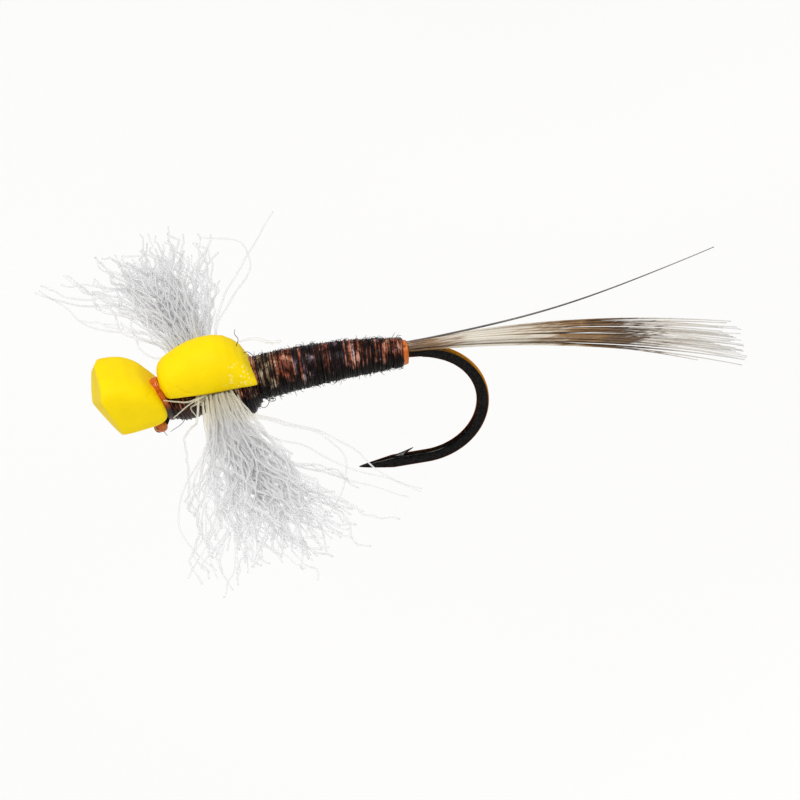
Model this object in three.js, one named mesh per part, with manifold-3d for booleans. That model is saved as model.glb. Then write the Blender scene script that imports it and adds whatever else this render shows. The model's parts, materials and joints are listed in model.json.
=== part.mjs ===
// Spent-wing spinner: a foam-backed dry fly tied on a long-shank, down-eye hook.
// Millimetres, +Z up. The origin is the centre of the hook eye, +X runs to the tail,
// -Y is the fly's left side and the hook point hangs below the shank.
import * as THREE from 'three';
import { ConvexGeometry } from 'three/addons/geometries/ConvexGeometry.js';
import { mergeVertices } from 'three/addons/utils/BufferGeometryUtils.js';
import Module from 'manifold-3d';

// Hook
const WIRE_RADIUS = 0.25;
const FORGED_HALF_WIDTH = 0.2;
const FORGED_HALF_DEPTH = 0.29;
const SHANK_START_X = 0.35;
const SHANK_ARC_RADIUS = 30;
const BEND_RADIUS = 2.96;
const BEND_CENTRE = { x: 11.85, z: -2.4 };
const BEND_START_ANGLE = THREE.MathUtils.degToRad(78.2);
const BEND_END_ANGLE = THREE.MathUtils.degToRad(-94.4);
const SPEAR_LENGTH = 3.3;
const POINT_LENGTH = 1.5;
const POINT_TIP_RADIUS = 0.03;
const EYE_RING_RADIUS = 0.45;
const EYE_WIRE_RADIUS = 0.17;
const EYE_TURN_DOWN = THREE.MathUtils.degToRad(50);
const BARB_TIP = { x: 10.8, z: -4.82 };
const BARB_LENGTH = 1.15;
const BARB_HALF_WIDTH = 0.09;
const BARB_THICKNESS = 0.28;
const BARB_BURIED = 0.5;
const FORGING_RUN_IN = 1;

// Clearances
const GAP = 0.02;
const STRAND_GAP = 0.015;

// Body: thread base, fibre butts and the wound fibres over them
const TAIL_TIE_X = 12.15;
const ABDOMEN_FRONT_X = 4.85;
const ABDOMEN_REAR_X = 11.72;
const ABDOMEN_FRONT_RADIUS = 1.0;
const ABDOMEN_REAR_RADIUS = 0.66;
const ABDOMEN_TAPER = 1.8;
const BUTT_OUTER_RADIUS = 0.4;
const BUTT_ARC = [0.35, 2.8];
const UNDERBODY_FRONT_X = 2.1;
const UNDERBODY_MIN_WALL = 0.03;
const WAIST_CORE_RADIUS = 0.5;
const HERL_RADIUS = 0.11;
const HERL_SPACING = 2 * HERL_RADIUS + STRAND_GAP;
const HERL_COVER = 2 * HERL_RADIUS + 0.06;
const HERL_STEPS_PER_TURN = 12;
const HERL_SIDES = 5;
const ABDOMEN_STRANDS = 4;
const THORAX_FRONT_X = 3.7;
const THORAX_REAR_X = 4.6;
const THORAX_RADIUS = 1.3;
const THORAX_STRANDS = 2;
const THORAX_STEP = 0.1;
const SLEEVE_SIDES = 16;

// Thread
const HEAD_WRAPS_X = [0.66, 1.85];
const HEAD_WRAPS_RADIUS = [0.55, 0.9];
const REAR_BAND_X = [11.82, 12.12];
const REAR_BAND_RADIUS = 0.52;
const COLLAR_CENTRE = { x: 0.35, z: 1.17 };
const COLLAR_HALF_WIDTH = 0.82;
const COLLAR_HALF_HEIGHT = 1.2;
const COLLAR_WIRE = 0.17;
const COLLAR_LEAN = THREE.MathUtils.degToRad(-12);
const CROSS_CENTRE = { x: 2.8, z: 1.25 };
const CROSS_HALF_WIDTH = 0.97;
const CROSS_HALF_HEIGHT = 0.95;
const CROSS_THREAD_RADIUS = 0.05;
const CROSS_TURNS = [
  { name: 'front', angle: 45, spread: 0 },
  { name: 'rear', angle: -45, spread: 0.14 },
];

// Head cement
const CEMENT_RADIUS = 0.27;
const CEMENT_STRETCH = 1.2;
const CEMENT_OFFSET = { x: 0.26, y: -0.12, z: 0.02 };

// Foam back and head
const HUMP_CENTRE = { x: 2.68, z: 1.9 };
const HUMP_HALF = { x: 2.36, y: 1.6, z: 1.83 };
const HUMP_REAR_X = 4.78;
const HUMP_LIP_Z = 1.72;
const SADDLE_RADIUS = 1.5;
const SADDLE_CENTRE = { x: 4.4, z: 0.97 };
const NECK_CENTRE_Z = 1.74;
const NECK_HALF = { y: 0.46, z: 0.38 };
const NECK_X = [-0.3, 1.3];
const NECK_RISE = 0.25;
const NECK_FLARE = 0.9;
const STUB_CENTRE_Z = 1.85;
const STUB_HALF = { y: 1.66, z: 1.36 };
// Sections of the cut end: station along the fly, then the share of the full half width and height.
const STUB_SECTIONS = [
  { x: -0.14, y: 0.3, z: 0.32 },
  { x: -0.5, y: 0.78, z: 0.8 },
  { x: -1.0, y: 0.93, z: 0.93 },
  { x: -1.7, y: 1, z: 1 },
  { x: -2.5, y: 0.93, z: 0.93 },
  { x: -2.95, y: 0.66, z: 0.62 },
];
const STUB_SQUARENESS = 0.6;
const KNIFE_EDGE = { x: -2.05, y: -0.9, z: 1.1 };
const KNIFE_PITCH = THREE.MathUtils.degToRad(-25);
const KNIFE_YAW = THREE.MathUtils.degToRad(28);

// Wings
const HINGE = { x: 2.8, y: 1.2, z: 1.25 };
const PIVOT_RADIUS = 0.5;
const PIVOT_HALF_HEIGHT = 0.34;
const LOCK_START = 0.62;
const LOCK_LAYER_OFFSET = 0.16;
const LOCK_HALF_THICKNESS = 0.135;
const LOCK_MAX_HALF_WIDTH = 1.05;
const LOCK_FILL = 0.92;
const LOCK_LENGTH_SPREAD = 0.07;
const LOCK_STEPS = 7;
const LOCK_SIDES = 6;
const WAIST_HALF_WIDTH = 0.4;
const WAIST_HALF_THICKNESS = 0.22;
const WAIST_TOP_Z = 1.8;
const WINGS = [
  { name: 'left', side: -1, length: 13.4, from: -24, to: 33, droop: 6 },
  { name: 'right', side: 1, length: 12.8, from: -38, to: 27, droop: -3 },
];
const LOCKS_PER_WING = 8;

// Tail
const TAIL_ROOT = { x: 12.3, z: 0.92 };
const TAIL_LENGTH = 15.3;
const TAIL_FALL = THREE.MathUtils.degToRad(13.5);
const TAIL_FIBRES = 14;
const TAIL_FIBRES_PER_ROW = 5;
const TAIL_FIBRE_RADIUS = 0.055;
const TAIL_TIP_RADIUS = 0.025;
const TAIL_ROOT_PITCH = 0.125;
const TAIL_TIP_PITCH = 0.4;
const TAIL_ARCH = 0.55;
const TAIL_ARCH_PER_ROW = 0.1;
const TAIL_LENGTH_STEP = 0.035;
const TAIL_STEPS = 8;
const TAIL_SIDES = 5;
// The stray barb's middle and tip, from the tail's root, and its root and tip radius.
const STRAY_MIDDLE = { x: 6.9, y: 0.1, z: 0.35 };
const STRAY_TIP = { x: 14.5, y: 0.3, z: 1.35 };
const STRAY_RADIUS = [0.05, 0.02];
const STRAY_CLEARANCE = 0.03;

const wasm = await Module();
wasm.setup();

const X_AXIS = new THREE.Vector3(1, 0, 0);
const Y_AXIS = new THREE.Vector3(0, 1, 0);
const Z_AXIS = new THREE.Vector3(0, 0, 1);

function finish(colour, roughness, metalness = 0) {
  return new THREE.MeshStandardMaterial({ color: colour, roughness, metalness });
}

const FINISHES = {
  steel: () => finish(0x17171a, 0.22, 1),
  foam: () => finish(0xffe200, 0.75),
  thread: () => finish(0xb4490f, 0.35),
  darkThread: () => finish(0x3a130a, 0.4),
  herl: () => finish(0x3b1d14, 0.55),
  copperHerl: () => finish(0x7a3a24, 0.5),
  yarn: () => finish(0xf2f0ea, 0.6),
  barb: () => finish(0x9c8468, 0.4),
  greyBarb: () => finish(0x55524e, 0.4),
  cement: () => finish(0xa8480c, 0.12),
};

const group = new THREE.Group();

function addPart(name, geometry, finishName) {
  const mesh = new THREE.Mesh(geometry, FINISHES[finishName]());
  mesh.name = name;
  group.add(mesh);
  return mesh;
}

// Boolean helpers

function toSolid(geometry) {
  const bare = geometry.clone();
  bare.deleteAttribute('normal');
  bare.deleteAttribute('uv');
  const merged = mergeVertices(bare, 1e-5);
  const vertProperties = new Float32Array(merged.attributes.position.array);
  const triVerts = new Uint32Array(merged.index.array);
  return new wasm.Manifold(new wasm.Mesh({ numProp: 3, vertProperties, triVerts }));
}

function toGeometry(solid) {
  const mesh = solid.getMesh();
  const geometry = new THREE.BufferGeometry();
  geometry.setAttribute('position', new THREE.BufferAttribute(mesh.vertProperties, 3));
  geometry.setIndex(new THREE.BufferAttribute(mesh.triVerts, 1));
  geometry.computeVertexNormals();
  return geometry;
}

// Sweeps: a cylinder whose rings are laid along a curve, so that its section can change

function sweep(pointAt, halfSizeAt, steps, sides, sideHint) {
  const geometry = new THREE.CylinderGeometry(1, 1, 1, sides, steps);
  const position = geometry.attributes.position;
  const vertex = new THREE.Vector3();
  for (let i = 0; i < position.count; i += 1) {
    vertex.fromBufferAttribute(position, i);
    const t = vertex.y + 0.5;
    const before = pointAt(Math.max(t - 1e-3, 0));
    const tangent = pointAt(Math.min(t + 1e-3, 1)).sub(before).normalize();
    const side = sideHint.clone().addScaledVector(tangent, -sideHint.dot(tangent)).normalize();
    const up = new THREE.Vector3().crossVectors(side, tangent);
    const half = halfSizeAt(t);
    const limit = half.limit ?? half.side;
    const sideStep = THREE.MathUtils.clamp(vertex.x * half.side, -limit, limit);
    const point = pointAt(t);
    point.addScaledVector(side, sideStep);
    point.addScaledVector(up, vertex.z * half.up);
    position.setXYZ(i, point.x, point.y, point.z);
  }
  geometry.computeVertexNormals();
  return geometry;
}

// Hook line: shank arc, round bend and straight spear, measured along the wire

function onArc(centre, radius, angle) {
  const x = centre.x + radius * Math.cos(angle);
  const z = centre.z + radius * Math.sin(angle);
  return new THREE.Vector3(x, 0, z);
}

const shankEnd = onArc(BEND_CENTRE, BEND_RADIUS, BEND_START_ANGLE);
const shankArcCentre = {
  x: shankEnd.x - SHANK_ARC_RADIUS * Math.cos(BEND_START_ANGLE),
  z: shankEnd.z - SHANK_ARC_RADIUS * Math.sin(BEND_START_ANGLE),
};

function shankPoint(x) {
  const dx = x - shankArcCentre.x;
  return new THREE.Vector3(x, 0, shankArcCentre.z + Math.sqrt(SHANK_ARC_RADIUS ** 2 - dx * dx));
}

function shankFrame(x) {
  const origin = shankPoint(x);
  const radial = new THREE.Vector3(x - shankArcCentre.x, 0, origin.z - shankArcCentre.z).normalize();
  return { origin, up: radial };
}

const shankStartAngle = Math.acos((SHANK_START_X - shankArcCentre.x) / SHANK_ARC_RADIUS);
const shankLength = (shankStartAngle - BEND_START_ANGLE) * SHANK_ARC_RADIUS;
const bendLength = (BEND_START_ANGLE - BEND_END_ANGLE) * BEND_RADIUS;
const wireLength = shankLength + bendLength + SPEAR_LENGTH;
const bendEnd = onArc(BEND_CENTRE, BEND_RADIUS, BEND_END_ANGLE);
const spearDirection = new THREE.Vector3(Math.sin(BEND_END_ANGLE), 0, -Math.cos(BEND_END_ANGLE));

function hookLine(distance) {
  if (distance < shankLength) {
    return onArc(shankArcCentre, SHANK_ARC_RADIUS, shankStartAngle - distance / SHANK_ARC_RADIUS);
  }
  if (distance < shankLength + bendLength) {
    const turned = (distance - shankLength) / BEND_RADIUS;
    return onArc(BEND_CENTRE, BEND_RADIUS, BEND_START_ANGLE - turned);
  }
  return bendEnd.clone().addScaledVector(spearDirection, distance - shankLength - bendLength);
}

// The wire is round along the shank, forged flat on both sides of the bend and ground to a point.
function hookSection(distance) {
  const intoBend = THREE.MathUtils.smoothstep(distance, shankLength, shankLength + FORGING_RUN_IN);
  const side = WIRE_RADIUS;
  const up = THREE.MathUtils.lerp(WIRE_RADIUS, FORGED_HALF_DEPTH, intoBend);
  const limit = THREE.MathUtils.lerp(WIRE_RADIUS, FORGED_HALF_WIDTH, intoBend);
  const toTip = Math.min((wireLength - distance) / POINT_LENGTH, 1);
  const taper = POINT_TIP_RADIUS / WIRE_RADIUS + (1 - POINT_TIP_RADIUS / WIRE_RADIUS) * toTip ** 0.8;
  return { side: side * taper, up: up * taper, limit: limit * taper };
}

function hookWire() {
  const steps = 50;
  const shankShare = 0.2;
  const distanceAt = (t) => {
    if (t < shankShare) {
      return (t / shankShare) * shankLength;
    }
    return shankLength + ((t - shankShare) / (1 - shankShare)) * (wireLength - shankLength);
  };
  const pointAt = (t) => hookLine(distanceAt(t));
  return sweep(pointAt, (t) => hookSection(distanceAt(t)), steps, 12, Y_AXIS);
}

function eyeRing(wireRadius) {
  const ring = new THREE.TorusGeometry(EYE_RING_RADIUS, wireRadius, 8, 18);
  ring.rotateY(-EYE_TURN_DOWN);
  return ring;
}

function barb() {
  const heel = bendEnd.clone().addScaledVector(spearDirection, bendEnd.x - BARB_TIP.x + 0.1);
  const toe = heel.clone().addScaledVector(spearDirection, BARB_LENGTH);
  const corners = [];
  for (const side of [-1, 1]) {
    corners.push(new THREE.Vector3(heel.x - 0.9 * BARB_BURIED, side * BARB_HALF_WIDTH, heel.z));
    corners.push(new THREE.Vector3(toe.x, side * BARB_HALF_WIDTH, toe.z + 0.05));
    corners.push(new THREE.Vector3(heel.x - BARB_BURIED, side * BARB_HALF_WIDTH, heel.z + BARB_THICKNESS));
    corners.push(new THREE.Vector3(BARB_TIP.x, side * 0.02, BARB_TIP.z));
  }
  return new ConvexGeometry(corners);
}

function makeHook() {
  const solid = toSolid(hookWire()).add(toSolid(eyeRing(EYE_WIRE_RADIUS))).add(toSolid(barb()));
  addPart('hook', toGeometry(solid), 'steel');
  return solid;
}

// Sleeves: closed rings of revolution bent to follow the shank

function stations(fromX, toX, step) {
  const count = Math.max(1, Math.round((toX - fromX) / step));
  return Array.from({ length: count + 1 }, (_, i) => THREE.MathUtils.lerp(fromX, toX, i / count));
}

function sleeve(xs, innerRadius, outerRadiusAt) {
  const profile = xs.map((x) => new THREE.Vector2(outerRadiusAt(x), x));
  for (const x of [...xs].reverse()) {
    profile.push(new THREE.Vector2(innerRadius, x));
  }
  profile.push(profile[0].clone());
  return bendAlongShank(new THREE.LatheGeometry(profile, SLEEVE_SIDES));
}

// Takes a shape built round the Y axis, with Y as the station along the shank, onto the shank.
function bendAlongShank(geometry) {
  const position = geometry.attributes.position;
  for (let i = 0; i < position.count; i += 1) {
    const { origin, up } = shankFrame(position.getY(i));
    const point = origin.addScaledVector(up, position.getX(i)).addScaledVector(Y_AXIS, position.getZ(i));
    position.setXYZ(i, point.x, point.y, point.z);
  }
  geometry.computeVertexNormals();
  return toGeometry(toSolid(geometry));
}

function abdomenRadius(x) {
  const share = THREE.MathUtils.clamp((x - ABDOMEN_FRONT_X) / (ABDOMEN_REAR_X - ABDOMEN_FRONT_X), 0, 1);
  return THREE.MathUtils.lerp(ABDOMEN_FRONT_RADIUS, ABDOMEN_REAR_RADIUS, share ** ABDOMEN_TAPER);
}

function underbodyRadius(x) {
  if (x < THORAX_FRONT_X) {
    return WAIST_CORE_RADIUS;
  }
  const underThorax = ABDOMEN_FRONT_RADIUS + THORAX_STEP;
  const outside = x < ABDOMEN_FRONT_X ? underThorax : abdomenRadius(x);
  return Math.max(outside - HERL_COVER, BUTT_OUTER_RADIUS + UNDERBODY_MIN_WALL);
}

function makeCore() {
  const buttShape = new THREE.Shape();
  const [from, to] = BUTT_ARC;
  buttShape.absarc(0, 0, BUTT_OUTER_RADIUS - 2 * GAP, from, to, false);
  buttShape.absarc(0, 0, WIRE_RADIUS + GAP, to, from, true);
  buttShape.closePath();
  const buttStart = ABDOMEN_FRONT_X;
  const buttLength = TAIL_TIE_X - buttStart;
  const settings = { depth: buttLength, steps: 9, bevelEnabled: false, curveSegments: 5 };
  const butts = new THREE.ExtrudeGeometry(buttShape, settings);
  butts.rotateX(-Math.PI / 2);
  butts.rotateY(-Math.PI / 2);
  butts.translate(0, buttStart, 0);
  addPart('tail_butts', bendAlongShank(butts), 'barb');

  const xs = [UNDERBODY_FRONT_X, THORAX_FRONT_X - GAP, THORAX_FRONT_X, ABDOMEN_FRONT_X - GAP];
  xs.push(...stations(ABDOMEN_FRONT_X, REAR_BAND_X[0] - GAP, 1.8));
  addPart('thread_underbody', sleeve(xs, BUTT_OUTER_RADIUS, underbodyRadius), 'darkThread');
}

// Wound fibres: parallel helices, each fibre a round tube

class WindingCurve extends THREE.Curve {
  constructor(fromX, toX, strand, strands, radiusAt) {
    super();
    this.fromX = fromX;
    this.toX = toX;
    this.phase = strand / strands;
    this.turns = (toX - fromX) / (strands * HERL_SPACING);
    this.radiusAt = radiusAt;
  }

  getPoint(t, target = new THREE.Vector3()) {
    const x = THREE.MathUtils.lerp(this.fromX, this.toX, t);
    const angle = 2 * Math.PI * (this.turns * t + this.phase);
    const { origin, up } = shankFrame(x);
    const radius = this.radiusAt(x) - HERL_RADIUS;
    target.copy(origin).addScaledVector(up, radius * Math.cos(angle));
    return target.addScaledVector(Y_AXIS, radius * Math.sin(angle));
  }

  getPointAt(t, target) {
    return this.getPoint(t, target);
  }

  getTangentAt(t, target) {
    return this.getTangent(t, target);
  }
}

function fibreSection(radius, sides) {
  const corners = [];
  for (let i = 0; i < sides; i += 1) {
    const angle = (2 * Math.PI * i) / sides;
    corners.push(new THREE.Vector2(radius * Math.cos(angle), radius * Math.sin(angle)));
  }
  return new THREE.Shape(corners);
}

function windFibres(prefix, strands, fromX, toX, radiusAt, finishes) {
  for (let strand = 0; strand < strands; strand += 1) {
    const curve = new WindingCurve(fromX, toX, strand, strands, radiusAt);
    const steps = Math.ceil(curve.turns * HERL_STEPS_PER_TURN);
    const settings = { extrudePath: curve, steps, bevelEnabled: false };
    const tube = new THREE.ExtrudeGeometry(fibreSection(HERL_RADIUS, HERL_SIDES), settings);
    addPart(`${prefix}_${strand + 1}`, toGeometry(toSolid(tube)), finishes[strand % finishes.length]);
  }
}

function makeBody() {
  const end = HERL_RADIUS + GAP;
  const finishes = ['herl', 'copperHerl'];
  windFibres('abdomen_fibre', ABDOMEN_STRANDS, ABDOMEN_FRONT_X + end, ABDOMEN_REAR_X - end, abdomenRadius,
    finishes);
  windFibres('thorax_fibre', THORAX_STRANDS, THORAX_FRONT_X, THORAX_REAR_X, () => THORAX_RADIUS, finishes);
}

// Thread windings that show: head, rear band, foam collar and the crossed turns at the wings

function ovalRing(halfWidth, halfHeight, wireRadius) {
  const unitRadius = 2;
  const ring = new THREE.TorusGeometry(unitRadius, 1, 6, 24);
  const position = ring.attributes.position;
  for (let i = 0; i < position.count; i += 1) {
    const around = Math.atan2(position.getY(i), position.getX(i));
    const outward = Math.hypot(position.getX(i), position.getY(i)) - unitRadius;
    const width = halfWidth + wireRadius * outward;
    const height = halfHeight + wireRadius * outward;
    position.setXYZ(i, width * Math.cos(around), height * Math.sin(around), wireRadius * position.getZ(i));
  }
  ring.rotateX(Math.PI / 2);
  ring.rotateZ(Math.PI / 2);
  return ring;
}

function headRadius(x) {
  const share = (x - HEAD_WRAPS_X[0]) / (HEAD_WRAPS_X[1] - HEAD_WRAPS_X[0]);
  return THREE.MathUtils.lerp(HEAD_WRAPS_RADIUS[0], HEAD_WRAPS_RADIUS[1], Math.sin((share * Math.PI) / 2));
}

function makeThread() {
  const head = sleeve(stations(...HEAD_WRAPS_X, 0.3), WIRE_RADIUS + GAP, headRadius);
  addPart('head_thread_wraps', head, 'darkThread');

  const band = sleeve(REAR_BAND_X, BUTT_OUTER_RADIUS, () => REAR_BAND_RADIUS);
  addPart('rear_thread_band', band, 'thread');

  const collar = ovalRing(COLLAR_HALF_WIDTH, COLLAR_HALF_HEIGHT, COLLAR_WIRE);
  const collarMesh = addPart('foam_thread_collar', toGeometry(toSolid(collar)), 'thread');
  collarMesh.rotation.y = COLLAR_LEAN;
  collarMesh.position.set(COLLAR_CENTRE.x, 0, COLLAR_CENTRE.z);

  for (const turn of CROSS_TURNS) {
    const halfWidth = CROSS_HALF_WIDTH + turn.spread;
    const halfHeight = CROSS_HALF_HEIGHT + turn.spread;
    const ring = ovalRing(halfWidth, halfHeight, CROSS_THREAD_RADIUS);
    const mesh = addPart(`wing_thread_cross_${turn.name}`, toGeometry(toSolid(ring)), 'darkThread');
    mesh.rotation.z = THREE.MathUtils.degToRad(turn.angle);
    mesh.position.set(CROSS_CENTRE.x, 0, CROSS_CENTRE.z);
  }
}

function makeHeadCement(hook) {
  const drop = new THREE.SphereGeometry(CEMENT_RADIUS, 14, 10);
  drop.scale(1, CEMENT_STRETCH, 1);
  const lowerRing = new THREE.Vector3(-EYE_RING_RADIUS, 0, 0).applyAxisAngle(Y_AXIS, -EYE_TURN_DOWN);
  drop.translate(lowerRing.x + CEMENT_OFFSET.x, CEMENT_OFFSET.y, lowerRing.z + CEMENT_OFFSET.z);
  const clear = toSolid(eyeRing(EYE_WIRE_RADIUS + GAP)).add(hook);
  const solid = toSolid(drop).subtract(clear);
  const largest = solid.decompose().sort((a, b) => b.volume() - a.volume())[0];
  addPart('head_cement', toGeometry(largest), 'cement');
}

// Foam strip: cut end, waist under the thread collar and the humped back

function foamHump() {
  const shape = new THREE.SphereGeometry(1, 24, 16);
  shape.rotateX(Math.PI / 2);
  shape.scale(HUMP_HALF.x, HUMP_HALF.y, HUMP_HALF.z);
  shape.translate(HUMP_CENTRE.x, 0, HUMP_CENTRE.z);
  const keep = new THREE.BoxGeometry(6, 4, 4);
  keep.translate(HUMP_REAR_X - 3, 0, HUMP_LIP_Z + 2);
  const saddle = new THREE.CapsuleGeometry(SADDLE_RADIUS, 4, 8, 24);
  saddle.rotateZ(Math.PI / 2);
  saddle.translate(SADDLE_CENTRE.x, 0, SADDLE_CENTRE.z);
  return toSolid(shape).intersect(toSolid(keep)).subtract(toSolid(saddle));
}

// The room that the head wraps need under the foam.
function headRoom() {
  const xs = stations(HEAD_WRAPS_X[0] - 0.1, HEAD_WRAPS_X[1] + 0.3, 0.3);
  const profile = xs.map((x) => new THREE.Vector2(headRadius(Math.min(x, HEAD_WRAPS_X[1])) + 2 * GAP, x));
  profile.unshift(new THREE.Vector2(0, xs[0]));
  profile.push(new THREE.Vector2(0, xs.at(-1)));
  return toSolid(bendAlongShank(new THREE.LatheGeometry(profile, SLEEVE_SIDES)));
}

function foamNeck() {
  const pointAt = (t) => {
    const x = THREE.MathUtils.lerp(NECK_X[0], NECK_X[1], t);
    return new THREE.Vector3(x, 0, NECK_CENTRE_Z + NECK_RISE * t * t);
  };
  const halfAt = (t) => ({ side: NECK_HALF.y * (1 + NECK_FLARE * t ** 3), up: NECK_HALF.z });
  return sweep(pointAt, halfAt, 6, 14, Y_AXIS);
}

// The cut end flares from the waist to a rounded block with its front corners trimmed away.
function foamStub() {
  const corners = [];
  const around = 14;
  for (const section of STUB_SECTIONS) {
    for (let i = 0; i < around; i += 1) {
      const angle = (2 * Math.PI * i) / around;
      const y = Math.sign(Math.cos(angle)) * Math.abs(Math.cos(angle)) ** STUB_SQUARENESS;
      const z = Math.sign(Math.sin(angle)) * Math.abs(Math.sin(angle)) ** STUB_SQUARENESS;
      const centreZ = STUB_CENTRE_Z - 0.12 * (1 - section.z);
      corners.push(new THREE.Vector3(section.x, STUB_HALF.y * section.y * y,
        centreZ + STUB_HALF.z * section.z * z));
    }
  }
  const block = toSolid(new ConvexGeometry(corners));
  const knife = new THREE.BoxGeometry(4, 6, 4);
  knife.translate(-2, 0, -2);
  knife.rotateY(KNIFE_PITCH);
  knife.rotateZ(KNIFE_YAW);
  knife.translate(KNIFE_EDGE.x, KNIFE_EDGE.y, KNIFE_EDGE.z);
  return block.subtract(toSolid(knife));
}

function makeFoam() {
  const solid = foamHump().add(toSolid(foamNeck())).add(foamStub()).subtract(headRoom());
  addPart('foam_strip', toGeometry(solid), 'foam');
}

// Wings: a yarn waist over the shank, and on each side a fan of tapering yarn locks

function makeYarnWaist() {
  const pointAt = (t) => {
    const y = THREE.MathUtils.lerp(-HINGE.y, HINGE.y, t);
    const z = THREE.MathUtils.lerp(WAIST_TOP_Z, HINGE.z, (y / HINGE.y) ** 2);
    return new THREE.Vector3(HINGE.x, y, z);
  };
  const half = { side: WAIST_HALF_WIDTH, up: WAIST_HALF_THICKNESS };
  let solid = toSolid(sweep(pointAt, () => half, 12, 12, X_AXIS));
  for (const side of [-1, 1]) {
    const pivot = new THREE.CylinderGeometry(PIVOT_RADIUS, PIVOT_RADIUS, 2 * PIVOT_HALF_HEIGHT, 20);
    pivot.rotateX(Math.PI / 2);
    pivot.translate(HINGE.x, side * HINGE.y, HINGE.z);
    solid = solid.add(toSolid(pivot));
  }
  addPart('yarn_waist', toGeometry(solid), 'yarn');
}

function yarnLock(wing, index) {
  const share = index / (LOCKS_PER_WING - 1);
  const upperLayer = index % 2 === 0;
  const angle = THREE.MathUtils.degToRad(THREE.MathUtils.lerp(wing.from, wing.to, share));
  const direction = new THREE.Vector3(Math.sin(angle), wing.side * Math.cos(angle), 0);
  const across = new THREE.Vector3().crossVectors(direction, Z_AXIS).normalize();
  const length = wing.length * (1 - LOCK_LENGTH_SPREAD * (1 - Math.cos(2.2 * index)));
  const fall = Math.tan(THREE.MathUtils.degToRad(wing.droop));
  const layer = upperLayer ? LOCK_LAYER_OFFSET : -LOCK_LAYER_OFFSET;
  const fanStep = THREE.MathUtils.degToRad((wing.to - wing.from) / (LOCKS_PER_WING - 1));
  const pointAt = (t) => {
    const reach = THREE.MathUtils.lerp(LOCK_START, length, t);
    const point = new THREE.Vector3(HINGE.x, wing.side * HINGE.y, HINGE.z + layer);
    point.addScaledVector(direction, reach);
    point.z -= fall * reach * (0.4 + 0.6 * t);
    return point;
  };
  const halfAt = (t) => {
    const reach = THREE.MathUtils.lerp(LOCK_START, length, t);
    const open = Math.min(fanStep * reach * LOCK_FILL, LOCK_MAX_HALF_WIDTH);
    const taper = 1 - 0.55 * THREE.MathUtils.smoothstep(t, 0.65, 1);
    return { side: open * taper, up: LOCK_HALF_THICKNESS * (1 - 0.3 * t) };
  };
  return sweep(pointAt, halfAt, LOCK_STEPS, LOCK_SIDES, across);
}

function makeWings() {
  makeYarnWaist();
  for (const wing of WINGS) {
    for (let index = 0; index < LOCKS_PER_WING; index += 1) {
      addPart(`${wing.name}_wing_lock_${index + 1}`, yarnLock(wing, index), 'yarn');
    }
  }
}

// Tail: a flat bundle of barbs that spreads a little, and one stray barb above it

function tailFibre(row, column, count) {
  const across = column - (count - 1) / 2;
  const root = new THREE.Vector3(TAIL_ROOT.x, across * TAIL_ROOT_PITCH, TAIL_ROOT.z + row * TAIL_ROOT_PITCH);
  const reach = TAIL_LENGTH * (1 - TAIL_LENGTH_STEP * ((column * 2 + row * 3) % 4));
  const tip = new THREE.Vector3(
    TAIL_ROOT.x + reach * Math.cos(TAIL_FALL),
    across * TAIL_TIP_PITCH,
    TAIL_ROOT.z - reach * Math.sin(TAIL_FALL) + row * TAIL_TIP_PITCH,
  );
  const arch = TAIL_ARCH + TAIL_ARCH_PER_ROW * (row - 1);
  const pointAt = (t) => {
    const point = root.clone().lerp(tip, t);
    point.z += arch * Math.sin(Math.PI * t);
    return point;
  };
  const halfAt = (t) => {
    const radius = THREE.MathUtils.lerp(TAIL_FIBRE_RADIUS, TAIL_TIP_RADIUS, t);
    return { side: radius, up: radius };
  };
  return sweep(pointAt, halfAt, TAIL_STEPS, TAIL_SIDES, Y_AXIS);
}

function strayBarb() {
  const root = new THREE.Vector3(TAIL_ROOT.x, 0, TAIL_ROOT.z + 3 * TAIL_ROOT_PITCH + STRAY_CLEARANCE);
  const tailRoot = new THREE.Vector3(TAIL_ROOT.x, 0, TAIL_ROOT.z);
  const middle = tailRoot.clone().add(STRAY_MIDDLE);
  const tip = tailRoot.clone().add(STRAY_TIP);
  const curve = new THREE.QuadraticBezierCurve3(root, middle, tip);
  const halfAt = (t) => {
    const radius = THREE.MathUtils.lerp(STRAY_RADIUS[0], STRAY_RADIUS[1], t);
    return { side: radius, up: radius };
  };
  return sweep((t) => curve.getPoint(t), halfAt, TAIL_STEPS, TAIL_SIDES, Y_AXIS);
}

function makeTail() {
  for (let index = 0; index < TAIL_FIBRES; index += 1) {
    const row = Math.floor(index / TAIL_FIBRES_PER_ROW);
    const count = Math.min(TAIL_FIBRES_PER_ROW, TAIL_FIBRES - row * TAIL_FIBRES_PER_ROW);
    const geometry = tailFibre(row, index % TAIL_FIBRES_PER_ROW, count);
    addPart(`tail_fibre_${String(index + 1).padStart(2, '0')}`, geometry, 'barb');
  }
  addPart('tail_stray_fibre', strayBarb(), 'greyBarb');
}

const hook = makeHook();
makeCore();
makeBody();
makeThread();
makeHeadCement(hook);
makeFoam();
makeWings();
makeTail();

export default group;
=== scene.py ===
"""Looks of the foam-backed spent-wing dry fly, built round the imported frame."""

import json
import math
import random

import bmesh
import bpy
import numpy as np
from mathutils import Matrix, Vector


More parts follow.
